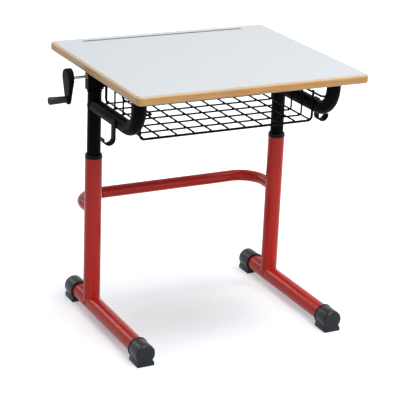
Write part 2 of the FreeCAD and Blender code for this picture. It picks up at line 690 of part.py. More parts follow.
def lipping(length, height, round_corners):
    """Wood edge strip along X with its outer side towards -Y."""
    body = new_body()
    outline = new_sketch(body, "XY_Plane")
    add_rectangle(outline, length, "lipping_width")
    feature = add_pad(body, outline, height)
    inner_y = value("lipping_width / 2") - NEAR
    half_length = value(f"({length}) / 2") - NEAR
    if round_corners:
        outer_upright = lambda edge: edge.BoundBox.ZLength > NEAR and edge.BoundBox.YMax < 0
        feature = add_dress("Fillet", body, feature, "Radius", "corner_radius", outer_upright)

    def outer_rim(edge):
        box_of = edge.BoundBox
        level = box_of.ZLength < NEAR
        inner = box_of.YMin > inner_y
        joint = not round_corners and (box_of.XMin > half_length or box_of.XMax < -half_length)
        return level and not inner and not joint

    add_dress("Fillet", body, feature, "Radius", "edge_round", outer_rim)
    return body


# Basket and hooks
def make_basket():
    wire, rod, rail = "wire_diameter / 2", "front_rod_diameter / 2", "rail_diameter / 2"
    upper_end = f"({RAIL_Z} + {rail})"
    rod_half = f"(basket_width / 2 - {wire} + {rod})"
    rod_drop = f"({upper_end} - {FLOOR_WIRE_Z} + {wire} - {rod})"
    front = u_wire(rod_half, rod_drop, "wire_bend + wire_diameter", rod)
    node(place(front, f"{DESK_X} - {rod_half}", BASKET_Y, upper_end), "basket_front_rod")
    cross = []
    for index in range(round(value("cross_wires"))):
        item = u_wire("(basket_width / 2)", f"({upper_end} - {FLOOR_WIRE_Z})", "wire_bend", wire)
        y = f"{BASKET_Y} + {index + 1} * cross_pitch"
        cross.append(place(item, f"{DESK_X} - basket_width / 2", y, upper_end))
    node(group(*cross), "basket_cross_wires")
    long_z = f"({FLOOR_WIRE_Z} + wire_diameter + weld_gap)"
    behind_rod = f"({rod} + weld_gap)"

    def long_wire(x, top):
        reach = f"(basket_depth - {behind_rod})"
        corners = [(reach, "0"), (reach, f"{top} - {long_z}")]
        item = bent_body("YZ_Plane", "XZ_Plane", corners, "wire_bend", wire)
        return place(item, x, f"({BASKET_Y} + {behind_rod})", long_z)

    long = []
    for index in range(round(value("long_wires"))):
        long.append(long_wire(f"{DESK_X} + ({index} - (long_wires - 1) / 2) * long_pitch", upper_end))
    for sign in "-+":
        under_rail = f"({RAIL_Z} - {rail} - weld_gap)"
        long.append(long_wire(f"{DESK_X} {sign} (basket_width / 2 - corner_inset)", under_rail))
    node(group(*long), "basket_long_wires")
    node(basket_rail(rail), "basket_rail")
    node(group(*[basket_lug(side, x) for side, x in COLUMN_X.items()]), "basket_lugs")


def u_wire(half, drop, bend, radius):
    corners = [("0", f"-({drop})"), (f"2 * {half}", f"-({drop})"), (f"2 * {half}", "0")]
    return bent_body("XZ_Plane", "XY_Plane", corners, bend, radius)


def basket_rail(radius):
    """Rail from one arm along the side, the back and the other side to the other arm."""
    inward = f"(column_spread / 2 - {RAIL_HALF})"
    behind_wires = "wire_diameter / 2 + rail_diameter / 2 + weld_gap"
    back = f"(basket_depth - basket_forward - {ARM_Y} + {behind_wires})"
    far = f"(column_spread - {inward})"
    corners = [(inward, "0"), (inward, back), (far, back), (far, "0"), ("column_spread", "0")]
    item = bent_body("XY_Plane", "YZ_Plane", corners, "rail_bend", radius)
    place(item, COLUMN_X["left"], ARM_Y, RAIL_Z)
    return cut(item, *[arm_body(x, "arm_diameter / 2 + weld_gap") for x in COLUMN_X.values()])


def basket_lug(side, x):
    """Block between a gear housing's inner cheek and the rail, coped to the rail."""
    inward = "+" if side == "left" else "-"
    cheek = "(housing_width / 2 + weld_gap)"
    rail_at = f"(column_spread / 2 - {RAIL_HALF})"
    middle = f"({x} {inward} ({cheek} + {rail_at}) / 2)"
    lug_z = f"{RAIL_Z} - lug_height / 2"
    block = box(f"{rail_at} - {cheek}", "lug_length", "lug_height", middle, COLUMN_Y, lug_z)
    rail_x, rail_y = f"({x} {inward} {rail_at})", f"{COLUMN_Y} - lug_length"
    rail = cylinder("rail_diameter / 2 + weld_gap", "2 * lug_length", rail_x, rail_y, RAIL_Z, TURN_TO_Y)
    return cut(block, rail)


def make_hooks():
    for side, x in COLUMN_X.items():
        body = new_body()
        outline = new_sketch(body, "XZ_Plane")
        add_hook_outline(outline)
        add_pad(body, outline, "hook_width", symmetric=True)
        offset = "(arm_diameter / 2 + weld_gap + hook_strip + hook_radius)"
        centre_z = f"{UNDERSIDE} - hook_drop + hook_radius + hook_strip"
        turn = HALF_TURN if side == "left" else None
        place(body, f"{x} {SIDES[side]} {offset}", "-hook_forward", centre_z, turn)
        node(body, f"{side}_bag_hook")


def add_hook_outline(sketch):
    """J of constant thickness: stem, half circle about the origin, tip."""
    inner, outer = "hook_radius", "(hook_radius + hook_strip)"
    stem, tip = f"hook_stem - {outer}", f"hook_tip - {outer}"
    small, large = value(inner), value(outer)
    high, low = value(stem), value(tip)
    runs = [
        ((-large, 0), (-large, high)),
        ((-large, high), (-small, high)),
        ((-small, high), (-small, 0)),
        ((small, 0), (small, low)),
        ((small, low), (large, low)),
        ((large, low), (large, 0)),
    ]
    lines = [sketch.addGeometry(Part.LineSegment(Vector(*a, 0), Vector(*b, 0))) for a, b in runs]
    arcs = []
    for radius, size in ((small, inner), (large, outer)):
        circle = Part.Circle(Vector(0, 0, 0), Vector(0, 0, 1), radius)
        arc = sketch.addGeometry(Part.ArcOfCircle(circle, math.pi, 2 * math.pi))
        constrain(sketch, "Coincident", arc, 3, -1, 1)
        constrain(sketch, "Radius", arc, size=size)
        constrain(sketch, "PointOnObject", arc, 1, -1)
        constrain(sketch, "PointOnObject", arc, 2, -1)
        arcs.append(arc)
    for first, second in ((0, 1), (1, 2), (3, 4), (4, 5)):
        constrain(sketch, "Coincident", lines[first], 2, lines[second], 1)
    constrain(sketch, "Coincident", lines[2], 2, arcs[0], 1)
    constrain(sketch, "Coincident", lines[3], 1, arcs[0], 2)
    constrain(sketch, "Coincident", lines[5], 2, arcs[1], 2)
    constrain(sketch, "Coincident", lines[0], 1, arcs[1], 1)
    for index in (0, 2, 3, 5):
        constrain(sketch, "Vertical", lines[index])
    for index in (1, 4):
        constrain(sketch, "Horizontal", lines[index])
    constrain(sketch, "DistanceY", -1, 1, lines[1], 1, size=stem)
    constrain(sketch, "DistanceY", -1, 1, lines[4], 1, size=tip)


# Drive
def bevel_gear_shape(bore, hub_end):
    """Mitre gear about Z below its apex at the origin, with one tooth towards +X."""
    pitch, teeth = value("gear_pitch_radius"), round(value("gear_teeth"))
    addendum, dedendum = value("gear_addendum"), value("gear_dedendum")
    cone = pitch * math.sqrt(2)
    element = Vector(1, 0, -1) / math.sqrt(2)
    outward = Vector(1, 0, 1) / math.sqrt(2)
    shrink = 1 - value("gear_face") / cone
    root = element * cone - outward * dedendum
    rim = root - outward * value("gear_back")
    hub = value("gear_hub_radius")
    outline = [
        Vector(bore, 0, root.z * shrink),
        root * shrink,
        root,
        rim,
        Vector(hub, 0, rim.z),
        Vector(hub, 0, -hub_end),
        Vector(bore, 0, -hub_end),
    ]
    profile = Part.Face(Part.makePolygon(outline + outline[:1]))
    blank = profile.revolve(Vector(0, 0, 0), Vector(0, 0, 1), 360)
    pressure = math.radians(value("pressure_angle"))
    base_radius = cone * math.cos(pressure)
    thickness = math.pi * pitch / teeth - value("gear_backlash")
    sunk = dedendum + value("gear_back") / 3

    def half_width(height):
        radius = cone + height
        angle = math.acos(min(1, base_radius / radius))
        turned = (math.tan(pressure) - pressure) - (math.tan(angle) - angle)
        return radius * math.sin(thickness / (2 * cone) + turned)

    levels = (-sunk, 0, addendum)
    right = [element * cone + outward * level + Vector(0, half_width(level), 0) for level in levels]
    left = [Vector(point.x, -point.y, point.z) for point in reversed(right)]
    large = right + left
    small = [point * shrink for point in large]
    tooth = Part.makeLoft([Part.makePolygon(ring + ring[:1]) for ring in (large, small)], True, True)
    ring_of_teeth = []
    for index in range(teeth):
        copy = tooth.copy()
        copy.rotate(Vector(0, 0, 0), Vector(0, 0, 1), 360 * index / teeth)
        ring_of_teeth.append(copy)
    return blank.fuse(ring_of_teeth)


def bevel_gear(shape, x, z, rotation):
    item = doc.addObject("Part::Feature", "gear")
    item.Shape = shape
    return place(item, x, COLUMN_Y, z, rotation)


def make_spindles():
    hub_end = value(f"{SHAFT_Z} - {HOUSING_BOTTOM} - bush_flange - running_gap")
    shape = bevel_gear_shape(value("spindle_neck / 2 + weld_gap"), hub_end)
    half_pitch = FreeCAD.Rotation(Vector(0, 0, 1), 180 / round(value("gear_teeth")))
    for side, x in COLUMN_X.items():
        node(bevel_gear(shape, x, SHAFT_Z, half_pitch), f"{side}_spindle_gear")
        stop_bottom = f"({STOP_TOP} - stop_length)"
        shoulder = f"({BEARING_BOTTOM} - running_gap)"
        screw = cylinder("spindle_diameter / 2", f"{shoulder} - {stop_bottom}", x, COLUMN_Y, stop_bottom)
        neck_end = f"({SHAFT_Z} - gear_pitch_radius)"
        neck = cylinder("spindle_neck / 2", f"{neck_end} - {shoulder}", x, COLUMN_Y, shoulder)
        node(fuse(screw, neck), f"{side}_spindle")
        stop = ring_body("stop_diameter / 2", "spindle_diameter / 2 + weld_gap", "stop_length")
        node(place(stop, x, COLUMN_Y, stop_bottom), f"{side}_spindle_stop")


def make_crank():
    start = f"({CRANK_FACE} - crank_bore)"
    end = f"({COLUMN_X['right']} + housing_width / 2 + shaft_tail)"
    shaft = cylinder("shaft_diameter / 2", f"{end} - {start}", start, COLUMN_Y, SHAFT_Z, TURN_TO_X)
    node(shaft, "drive_shaft")
    hub_end = value("housing_width / 2 - housing_sheet - bush_flange - running_gap")
    shape = bevel_gear_shape(value("shaft_diameter / 2 + weld_gap"), hub_end)
    towards_mesh = FreeCAD.Rotation(Vector(0, 0, -1), Vector(0, -1, 0), Vector(-1, 0, 0), "ZXY")
    for side, x in COLUMN_X.items():
        node(bevel_gear(shape, x, SHAFT_Z, towards_mesh), f"{side}_drive_gear")
    body = crank_arm_body()
    place(body, CRANK_FACE, COLUMN_Y, SHAFT_Z)
    seat_radius = "shaft_diameter / 2 + weld_gap"
    seat = cylinder(seat_radius, "crank_bore + cut_margin", start, COLUMN_Y, SHAFT_Z, TURN_TO_X)
    hole_start = f"{CRANK_FACE} - crank_thickness - cut_margin"
    hole_length = "crank_thickness + 2 * cut_margin"
    pin_hole = cylinder("pin_diameter / 2 + weld_gap", hole_length, hole_start, COLUMN_Y, GRIP_Z, TURN_TO_X)
    grub_x = f"({CRANK_FACE} - crank_thickness / 2)"
    grub_y = f"({COLUMN_Y} + {seat_radius})"
    hole_radius, hole_depth = "grub_diameter / 2 + weld_gap", "crank_hub_radius"
    grub_hole = cylinder(hole_radius, hole_depth, grub_x, COLUMN_Y, SHAFT_Z, TURN_TO_Y)
    node(cut(body, seat, pin_hole, grub_hole), "crank_arm")
    grub = cylinder("grub_diameter / 2", "grub_length", grub_x, grub_y, SHAFT_Z, TURN_TO_Y)
    node(grub, "crank_set_screw")
    make_grip()


def crank_arm_body():
    """Teardrop about the shaft, thinner towards the grip on both sides."""
    body = new_body()
    slope = f"({CRANK_NARROWS} / crank_throw)"
    above, below = "(2 * crank_hub_radius)", "(crank_throw + 2 * crank_tip_radius)"
    side_view = new_sketch(body, "XZ_Plane")
    corners = [
        (f"{slope} * {above}", above),
        (f"-{slope} * {below}", f"-{below}"),
        (f"{slope} * {below} - crank_thickness", f"-{below}"),
        (f"-{slope} * {above} - crank_thickness", above),
    ]
    add_outline(side_view, corners)
    add_pad(body, side_view, "3 * crank_hub_radius", symmetric=True)
    outside = new_sketch(body, "YZ_Plane")
    add_teardrop(outside)
    add_rectangle(outside, "4 * crank_hub_radius", "4 * crank_throw")
    arm = add_pad(body, outside, "3 * crank_thickness", symmetric=True, kind="Pocket")
    middle = -value("crank_thickness / 2")
    add_dress("Fillet", body, arm, "Radius", "crank_round", lambda edge: edge.BoundBox.XMax < middle)
    return body


def add_teardrop(sketch):
    """Two round ends of different size joined by their common tangents, the large one at the origin."""
    large, small, throw = value("crank_hub_radius"), value("crank_tip_radius"), value("crank_throw")
    lean = math.asin((large - small) / throw)
    side = Vector(math.cos(lean), -math.sin(lean), 0)
    other = Vector(-side.x, side.y, 0)
    tip_centre = Vector(0, -throw, 0)
    up = Vector(0, 0, 1)
    hub_circle, tip_circle = Part.Circle(Vector(0, 0, 0), up, large), Part.Circle(tip_centre, up, small)
    hub = sketch.addGeometry(Part.ArcOfCircle(hub_circle, -lean, math.pi + lean))
    tip = sketch.addGeometry(Part.ArcOfCircle(tip_circle, math.pi + lean, 2 * math.pi - lean))
    right = sketch.addGeometry(Part.LineSegment(tip_centre + side * small, side * large))
    left = sketch.addGeometry(Part.LineSegment(other * large, tip_centre + other * small))
    constrain(sketch, "Coincident", hub, 3, -1, 1)
    constrain(sketch, "PointOnObject", tip, 3, -2)
    constrain(sketch, "Tangent", right, 2, hub, 1)
    constrain(sketch, "Tangent", left, 1, hub, 2)
    constrain(sketch, "Tangent", left, 2, tip, 1)
    constrain(sketch, "Tangent", right, 1, tip, 2)
    constrain(sketch, "Radius", hub, size="crank_hub_radius")
    constrain(sketch, "Radius", tip, size="crank_tip_radius")
    constrain(sketch, "DistanceY", tip, 3, -1, 1, size="crank_throw")


def make_grip():
    arm_side = f"({COLUMN_X['left']} - {CRANK_ARM_SIDE})"
    outer_end = f"({arm_side} - grip_gap - grip_length)"
    head_start = f"({outer_end} + pin_recess)"
    pin_length = f"{arm_side} + crank_tip_thickness - {head_start}"
    pin = cylinder("pin_diameter / 2", pin_length, head_start, COLUMN_Y, GRIP_Z, TURN_TO_X)
    head = cylinder("pin_head_diameter / 2", "pin_head", head_start, COLUMN_Y, GRIP_Z, TURN_TO_X)
    node(fuse(pin, head), "grip_pin")
    body = new_body()
    profile = new_sketch(body, "XZ_Plane")
    near, far = "-grip_gap", "-(grip_gap + grip_length)"
    bore = "pin_diameter / 2 + running_gap"
    add_outline(profile, [(near, bore), (near, "grip_neck / 2"), (far, "grip_diameter / 2"), (far, bore)])
    turned = body.newObject("PartDesign::Revolution", "revolution")
    turned.Profile = profile
    turned.ReferenceAxis = (profile, ["H_Axis"])
    doc.recompute()
    rim_x, rim_radius = value(far) + NEAR, value("grip_diameter / 2") - NEAR
    outer_rim = lambda edge: edge.BoundBox.XMax < rim_x and edge.BoundBox.YMax > rim_radius
    add_dress("Fillet", body, turned, "Radius", "grip_round", outer_rim)
    place(body, arm_side, COLUMN_Y, GRIP_Z)
    depth = "pin_recess + pin_head + running_gap + cut_margin"
    recess_radius, recess_start = "pin_head_diameter / 2 + running_gap", f"{outer_end} - cut_margin"
    recess = cylinder(recess_radius, depth, recess_start, COLUMN_Y, GRIP_Z, TURN_TO_X)
    node(cut(body, recess), "crank_grip")


make_feet()
make_columns()
make_stretcher()
make_nuts()
make_inner_columns()
screw_holes = make_screw_holes()
make_arms()
make_housings()
make_top()
make_screws()
make_basket()
make_hooks()
make_spindles()
make_crank()
doc.recompute()

failed = [item.Label for item in doc.Objects if "Invalid" in item.State or "Error" in item.State]
sound = [item for item in nodes if not item.Shape.isNull() and item.Shape.isValid() and item.Shape.Solids]
bad = [item.Label for item in nodes if item not in sound]
if failed or bad:
    raise RuntimeError(f"failed objects {failed}, bad shapes {bad}")

os.makedirs("parts", exist_ok=True)
for item in nodes:
    item.Shape.exportStep(f"parts/{item.Label}.step")
    print(item.Label, len(item.Shape.Solids), round(item.Shape.Volume, 1))
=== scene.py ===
"""Height-adjustable school desk: finishes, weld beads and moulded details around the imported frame."""
import math

import bpy
from mathutils import Matrix, Vector


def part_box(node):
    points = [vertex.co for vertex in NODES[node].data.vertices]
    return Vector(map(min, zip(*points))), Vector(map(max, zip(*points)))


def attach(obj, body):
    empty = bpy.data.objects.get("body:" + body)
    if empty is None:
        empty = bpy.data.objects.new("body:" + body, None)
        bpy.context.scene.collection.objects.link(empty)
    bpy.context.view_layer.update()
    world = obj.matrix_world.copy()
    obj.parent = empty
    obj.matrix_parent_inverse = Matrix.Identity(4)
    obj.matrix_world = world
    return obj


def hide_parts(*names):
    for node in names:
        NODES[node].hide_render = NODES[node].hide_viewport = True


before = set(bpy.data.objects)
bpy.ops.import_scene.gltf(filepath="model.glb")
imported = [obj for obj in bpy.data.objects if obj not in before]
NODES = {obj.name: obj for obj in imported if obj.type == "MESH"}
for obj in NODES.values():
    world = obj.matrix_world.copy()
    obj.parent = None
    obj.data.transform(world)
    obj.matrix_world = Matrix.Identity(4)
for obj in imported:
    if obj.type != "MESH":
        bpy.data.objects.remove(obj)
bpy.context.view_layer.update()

bl_info = {
    "name": "Height-adjustable desk",
    "version": (1, 0, 0),
    "blender": (4, 5, 0),
    "location": "3D View > Sidebar > Desk",
    "description": "Dresses the packed frame of a crank-lifted school desk",
    "category": "Object",
}

SIDES = ("left", "right")
X, Y, Z = range(3)


def both_sides(*pieces):
    return [f"{side}_{piece}" for side in SIDES for piece in pieces]


# Groups of nodes
CAPS = both_sides("front_foot_cap", "rear_foot_cap")
COLLARS = both_sides("guide_collar")
PRESSED = both_sides("bag_hook", "gear_housing", "arm_plate", "bearing_plate")
BASKET = ("basket_front_rod", "basket_cross_wires", "basket_long_wires", "basket_rail")
WOOD_SCREWS = ("arm_plate_screws", "housing_screws")

# Names of the finishes that added forms share
RED, BLACK = "red_coat_gloss", "black_coat_satin"
PLASTIC, SMOOTH_PLASTIC = "black_plastic_moulded", "black_plastic_smooth"

# Sockets of a Mix node that blends colours
MIX_FACTOR, MIX_FIRST, MIX_SECOND, MIX_COLOUR = 0, 6, 7, 2

# Patterns in waves per metre, and heights of the bumps in metres
RED_CLOUD, RED_SMUDGE, ORANGE_PEEL, PEEL_HEIGHT = 7.0, 34.0, 420.0, 0.00012
BLACK_CLOUD, BLACK_SMUDGE, STRUCTURE, STRUCTURE_HEIGHT = 9.0, 40.0, 1100.0, 0.00006
MOULD_FLOW, MOULD_SMUDGE, MOULD_GRAIN, MOULD_HEIGHT = 14.0, 60.0, 1600.0, 0.00005
TURNED_LINES, TURNED_HEIGHT = (900.0, 40.0, 900.0), 0.00003
PORES, PORE_HEIGHT = 900.0, 0.00005
SHEET_CLOUD, SPECKLE, SPECKLE_HEIGHT = 3.0, 900.0, 0.00003
CHIPS = (220.0, 90.0, 220.0)
BOARDS, WOOD_GRAIN, WOOD_FLECKS, GRAIN_HEIGHT = 6.0, 11.0, 75.0, 0.00008

# Squeeze of the wood's grain across the strips that run left to right, and front to back
ALONG_FRONT, ALONG_SIDE = (1.0, 16.0, 16.0), (16.0, 1.0, 16.0)

# Colours that aren't settings: the dark and the bright part of each pattern
STEEL = (0.36, 0.36, 0.37, 1), (0.56, 0.56, 0.57, 1)
BRONZE = (0.33, 0.20, 0.08, 1), (0.52, 0.34, 0.15, 1)
CHIPBOARD = (0.34, 0.22, 0.11, 1), (0.62, 0.45, 0.27, 1)

# Tones of the boards in the wood edge, and the painted highlight of its rim, painted pale where it
# rounds into the sheet
BEECH_YELLOW = (1.08, 1.20, 1.45)
BEECH_ORANGE = (1.02, 0.92, 0.80)
BEECH_PAINTED_HIGHLIGHT = (1.30, 1.75, 3.40)
PAINTED_HIGHLIGHT_RIM = 0.0065
GRAIN_SHADE, FLECK_SHADE = 0.66, 0.5
FLECK_SHARE, FLECK_DEPTH = 0.4, 0.3
BOARD_BAND = (0.38, 0), (0.62, 1)
GRAIN_BAND = (0.38, 0), (0.64, 0.55)
FLECK_BAND = (0.60, 0), (0.68, 1)
PAINTED_HIGHLIGHT_BAND = (0.0, 0), (0.7, 0.75)

# The part of the core down from its upper face, which shows in the groove, and its colour: the sheet's
# colour darkened as painted shade in the groove
GROOVE_ZONE = 0.008
GROOVE_PAINTED_SHADE = 0.42

# Meshes
MERGE_DISTANCE = 0.000005
FLAT_ANGLE = math.radians(0.5)
SHARP_ANGLE = math.radians(38)
SMOOTH_ANGLE = math.radians(35)
BEVEL_STEPS = 3
MIN_RING_STEPS = 24
RING_STEP = 0.0008
BEAD_STEPS = 12
DROP_STEPS = 2

# Welds: share and length of a bead's ripples, and the shapes of the drops
RIPPLE = 0.16
RIPPLE_LENGTH = 0.0042
DISC_BEAD = 0.0018
HOOK_DROP = 0.0036
HOOK_DROP_SHAPE = (0.9, 1.0, 2.4)
SPOT_SHAPE = (1.0, 1.0, 0.8)

# The basket: thickness of its wires and rail, and its mesh
WIRE, RAIL = 0.005, 0.006
CROSS_WIRES, LONG_WIRES, LONG_PITCH = 6, 9, 0.0534

# Screw heads: the lowest part of a head, its reach from one of its points, and its recess
HEAD_ROOM = 0.0012
HEAD_REACH = 0.0048
RECESS_LENGTH = 0.0045

# Camera, in degrees, metres and millimetres of lens and sensor
CAMERA_AZIMUTH = -27.4976
CAMERA_ELEVATION = 20.1474
CAMERA_ROLL = -2.3673
CAMERA_DISTANCE = 4.334246
CAMERA_TARGET = (0.041325, 0.0, 0.350)
CAMERA_LENS = 132.6485
CAMERA_SENSOR = 36.0
CAMERA_REACH = 100.0

# Floor: the middle and half sizes of the soft patch of painted shadow under the desk, where the floor's
# glow is lowest, and that glow from there outwards
FLOOR_SIZE = 60.0
SHADOW_PATCH_MIDDLE = (0.0, -0.03)
SHADOW_PATCH_HALF = (0.36, 0.24)
FLOOR_REACH = 32.0
FLOOR_PAINTED_GLOW = (
    (0.0, 0.08),
    (0.012, 0.13),
    (0.03, 0.34),
    (0.055, 0.47),
    (0.09, 0.55),
    (0.30, 0.66),
    (0.80, 0.84),
)
# Cool tint of the floor's glow, which tints the painted shadow bluish
FLOOR_PAINTED_GLOW_TINT = (0.96, 1.01, 1.06)

# Light: the world's strength, and each softbox with its place, size and power
WORLD_LIGHT = 0.28
SOFTBOXES = (
    ("front_softbox", (0.2, -3.0, 3.8), (2.2, 2.2), 110.0),
    ("top_softbox", (0.20, 0.50, 5.8), (2.4, 2.4), 98.0),
    ("left_softbox", (-3.8, -0.6, 1.6), (2.4, 2.4), 5.0),
    ("right_softbox", (2.6, -0.7, 3.2), (1.8, 1.8), 38.0),
    ("rear_softbox", (-1.6, 3.8, 2.6), (1.2, 1.6), 20.0),
    ("crank_softbox", (1.2, 0.5, 3.95), (0.5, 0.5), 8.0),
    ("low_softbox", (1.8, -3.3, 1.2), (0.7, 0.25), 6.0),
)


# Shader expressions
class Wire:
    """An output socket of a finish, which Python arithmetic turns into Math nodes."""

    def __init__(self, finish, socket):
        self.finish = finish
        self.socket = socket

    def __add__(self, other):
        return self.finish.math("ADD", self, other)

    __radd__ = __add__

    def __mul__(self, other):
        return self.finish.math("MULTIPLY", self, other)

    __rmul__ = __mul__

    def __sub__(self, other):
        return self.finish.math("SUBTRACT", self, other)

    def __rsub__(self, other):
        return self.finish.math("SUBTRACT", other, self)

    def __gt__(self, other):
        return self.finish.math("GREATER_THAN", self, other)

    def __lt__(self, other):
        return self.finish.math("LESS_THAN", self, other)


class Finish:
    """A procedural material with one Principled shader and the nodes that feed it."""

    def __init__(self, name, **constants):
        self.material = bpy.data.materials.new(name)
        self.open_tree(self.material)
        self.shader = self.tree.nodes.new("ShaderNodeBsdfPrincipled")
        output = self.tree.nodes.new("ShaderNodeOutputMaterial")
        self.tree.links.new(self.shader.outputs["BSDF"], output.inputs["Surface"])
        self.set(**constants)
        self.place = self.node("ShaderNodeTexCoord", {}, {}, "Object")

    def open_tree(self, owner):
        owner.use_nodes = True
        self.tree = owner.node_tree
        self.tree.nodes.clear()

    def node(self, kind, settings, inputs, output=0):
        made = self.tree.nodes.new(kind)
        for name, setting in settings.items():
            if name == "stops":
                self.set_stops(made.color_ramp.elements, setting)
            else:
                setattr(made, name, setting)
        for key, given in inputs.items():
            self.feed(made.inputs[key], given)
        return None if output is None else Wire(self, made.outputs[output])

    @staticmethod
    def set_stops(elements, stops):
        while len(elements) < len(stops):
            elements.new(1)
        for element, (position, shade) in zip(elements, stops):
            element.position = position
            element.color = (shade, shade, shade, 1)

    def feed(self, socket, given):
        if isinstance(given, Wire):
            self.tree.links.new(given.socket, socket)
        else:
            socket.default_value = given

    def set(self, **sockets):
        for name, given in sockets.items():
            label = name.replace("_", " ").title().replace("Ior", "IOR")
            self.feed(self.shader.inputs[label], given)

    def math(self, operation, *values):
        return self.node("ShaderNodeMath", {"operation": operation}, dict(enumerate(values)))

    def scaled(self, factors, vector=None):
        vectors = {0: vector or self.place, 1: factors}
        return self.node("ShaderNodeVectorMath", {"operation": "MULTIPLY"}, vectors)

    def axis(self, name):
        return self.node("ShaderNodeSeparateXYZ", {}, {0: self.place}, name)

    def noise(self, scale, detail=2.0, vector=None):
        sockets = {"Vector": vector or self.place, "Scale": scale, "Detail": detail}
        return self.node("ShaderNodeTexNoise", {}, sockets, "Fac")

    def band(self, value, *stops):
        return self.node("ShaderNodeValToRGB", {"stops": stops}, {0: value})

    def blend(self, factor, first, second):
        sockets = {MIX_FACTOR: factor, MIX_FIRST: first, MIX_SECOND: second}
        return self.node("ShaderNodeMix", {"data_type": "RGBA"}, sockets, MIX_COLOUR)

    def seen_ray(self):
        """1 for rays that show the surface to the camera, straight or by reflection."""
        kinds = ("Is Camera Ray", "Is Glossy Ray", "Is Transmission Ray")
        camera, glossy, through = [self.node("ShaderNodeLightPath", {}, {}, kind) for kind in kinds]
        return self.math("MINIMUM", camera + glossy + through, 1.0)

    def bump(self, height, distance):
        return self.node("ShaderNodeBump", {}, {"Height": height, "Distance": distance}, "Normal")


class Surroundings(Finish):
    """The studio's light from all round: white where it is seen, softer where it lights."""

    def __init__(self, world, strength):
        self.open_tree(world)
        seen = self.seen_ray()
        white = {"Color": (1.0, 1.0, 1.0, 1), "Strength": strength + (1 - strength) * seen}
        background = self.node("ShaderNodeBackground", {}, white)
        self.node("ShaderNodeOutputWorld", {}, {"Surface": background}, None)


def tint(colour, factor):
    return tuple(min(1.0, channel * factor) for channel in colour[:3]) + (1.0,)


def shifted(colour, factors):
    return tuple(min(1.0, channel * factor) for channel, factor in zip(colour, factors)) + (1.0,)


def paint(finish, *names):
    for name in names:
        slots = NODES[name].data.materials
        for place in range(len(slots)):
            slots[place] = finish.material


# Sizes and colours that a user may change
def colour_setting(name, description, default):
    return bpy.props.FloatVectorProperty(
        name=name, description=description, default=default, min=0, max=1, size=4, subtype="COLOR"
    )


def length_setting(name, description, default):
    return bpy.props.FloatProperty(
        name=name,
        description=description,
        default=default,
        min=0,
        precision=5,
        subtype="DISTANCE",
        unit="LENGTH",
    )


class DeskSizes(bpy.types.PropertyGroup):
    """Sizes of the welds and of the rounded edges."""

    frame_bead: length_setting("Frame weld", "Radius of the weld beads between the tubes", 0.0027)
    wire_bead: length_setting("Wire weld", "Radius of a spot weld in the basket", 0.0034)
    moulded_edge: length_setting("Moulded edge", "Rounding of the edges of plastic pieces", 0.0022)
    pressed_edge: length_setting("Pressed edge", "Rounding of the edges of sheet and strip", 0.0009)
    cap_lip: length_setting("Cap lip", "Radius of the lip round the mouth of a foot cap", 0.0018)
    collar_lip: length_setting("Collar lip", "Radius of the lip round the foot of a collar", 0.0011)
    recess_width: length_setting("Screw recess", "Width of the cross recess in the screw heads", 0.0011)


class DeskColours(bpy.types.PropertyGroup):
    """Colours of the desk's finishes."""

    red: colour_setting("Red coat", "Powder coat of the base", (0.465, 0.019, 0.012, 1))
    black: colour_setting("Black coat", "Powder coat of the lift and basket", (0.003, 0.003, 0.0034, 1))
    plastic: colour_setting("Black plastic", "Foot caps, collars and grip", (0.009, 0.011, 0.014, 1))
    laminate: colour_setting("Laminate", "Writing surface", (0.540, 0.566, 0.590, 1))
    beech: colour_setting("Beech", "Wood edge of the top", (0.490, 0.250, 0.071, 1))
    floor: colour_setting("Floor", "Floor of the studio", (0.80, 0.81, 0.825, 1))


def colours():
    return bpy.context.scene.desk_colours


def sizes():
    return bpy.context.scene.desk_sizes


# Finishes
class DESK_OT_red_coat(bpy.types.Operator):
    """Coat the feet, the outer columns and the stretcher red"""

    bl_idname = "desk.red_coat"
    bl_label = "Red coat"

    def execute(self, context):
        red = tuple(colours().red)
        coat = Finish(RED, specular_ior_level=0.16)
        cloud = coat.noise(RED_CLOUD)
        smudge = coat.noise(RED_SMUDGE, detail=4.0)
        peel = coat.noise(ORANGE_PEEL, detail=1.0)
        coat.set(
            base_color=coat.blend(cloud, tint(red, 0.90), tint(red, 1.08)),
            roughness=0.09 + 0.08 * smudge,
            normal=coat.bump(peel, PEEL_HEIGHT),
        )
        paint(coat, "rear_stretcher", *both_sides("foot_tube", "outer_column"))
        return {"FINISHED"}


class DESK_OT_black_coat(bpy.types.Operator):
    """Coat the sliding frame, the crank, the hooks and the basket black"""

    bl_idname = "desk.black_coat"
    bl_label = "Black coat"

    def execute(self, context):
        black = tuple(colours().black)
        coat = Finish(BLACK, specular_ior_level=0.022)
        cloud = coat.noise(BLACK_CLOUD)
        smudge = coat.noise(BLACK_SMUDGE, detail=3.0)
        structure = coat.noise(STRUCTURE)
        coat.set(
            base_color=coat.blend(cloud, tint(black, 0.85), tint(black, 1.2)),
            roughness=0.36 + 0.14 * smudge,
            normal=coat.bump(structure, STRUCTURE_HEIGHT),
        )
        paint(coat, "crank_arm", "grip_pin", "gear_covers", "basket_lugs", *BASKET)
        paint(coat, *both_sides("inner_column", "arm"), *PRESSED)
        return {"FINISHED"}


